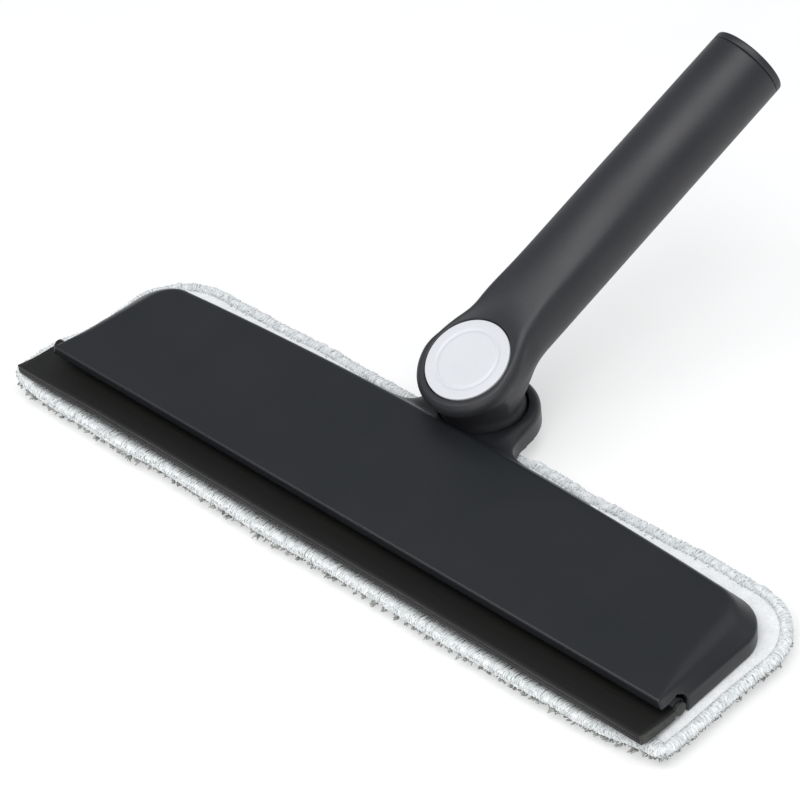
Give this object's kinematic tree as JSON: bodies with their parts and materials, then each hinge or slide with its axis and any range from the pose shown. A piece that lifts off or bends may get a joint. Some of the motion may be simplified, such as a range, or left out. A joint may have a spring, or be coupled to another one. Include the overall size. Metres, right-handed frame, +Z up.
{
  "type": "window cleaning squeegee",
  "caption": "Flat window squeegee head with a rubber blade, a hook and loop fabric pad underneath, and a round handle that swivels in a collar behind the head and has a push button on its hub.",
  "frame": {"origin": "centre of the pad's flat underside, on the surface that the squeegee rests on", "axes": "+X along the head to the right, +Y from the blade towards the handle, +Z up"},
  "size_m": [0.3, 0.2201, 0.1075],
  "materials": {
    "dark_plastic": "fine satin moulded texture",
    "handle_plastic": "fine grained matte moulding",
    "light_plastic": "satin",
    "natural_plastic": "plain moulded",
    "blade_rubber": "matte",
    "anodised_aluminium": "satin anodised",
    "steel": "bright zinc plated",
    "brake_lining": "matte friction lining",
    "hook_tape": "hook tape",
    "pad_pile": "short tufted microfibre pile",
    "pad_wadding": "needled wadding",
    "pad_loop": "brushed loop fabric",
    "pad_hem": "overlocked yarn edging"
  },
  "bodies": {
    "head": {"head_shell": "dark_plastic", "base_plate": "dark_plastic", "blade_channel": "anodised_aluminium", "hook_strip_front": "hook_tape", "hook_strip_rear": "hook_tape", "base_screw_1": "steel", "base_screw_2": "steel", "base_screw_3": "steel", "base_screw_4": "steel", "base_screw_5": "steel", "base_screw_6": "steel", "friction_ring": "brake_lining", "thrust_washer": "natural_plastic"},
    "blade": {"rubber_blade": "blade_rubber"},
    "pad": {"pad_pile": "pad_pile", "pad_wadding": "pad_wadding", "pad_loop_sheet": "pad_loop", "pad_hem": "pad_hem"},
    "handle": {"handle_body": "handle_plastic", "handle_end_cap": "handle_plastic", "release_spring": "steel"},
    "button": {"button_cap": "light_plastic", "button_stem": "dark_plastic"},
    "brake": {"brake_plunger": "steel", "spring_clip": "steel"}
  },
  "joints": [
    {"name": "handle_swivel", "type": "hinge", "parent": "head", "child": "handle", "pos_m": [0, 0.04495, 0.008], "axis": [0, 0, 1], "range_deg": [-82.8, 97.2]},
    {"name": "button_press", "type": "slide", "parent": "handle", "child": "button", "axis": [0.0528, 0.4177, -0.907], "range_m": [0, 0.0016], "stiffness_N_per_m": 1500, "springref_m": -0.003},
    {"name": "brake_release", "type": "slide", "parent": "handle", "child": "brake", "axis": [0, 0, -1], "range_m": [0, 0.0015], "deforming": ["release_spring"]},
    {"name": "pad_peel", "type": "slide", "parent": "head", "child": "pad", "axis": [0, 0, -1], "range_m": [0, 0.03]},
    {"name": "blade_slide", "type": "slide", "parent": "head", "child": "blade", "axis": [1, 0, 0], "range_m": [0, 0.29]}
  ],
  "couplings": [
    {"joint": "brake_release", "follows": "button_press", "ratio": 0.907}
  ]
}
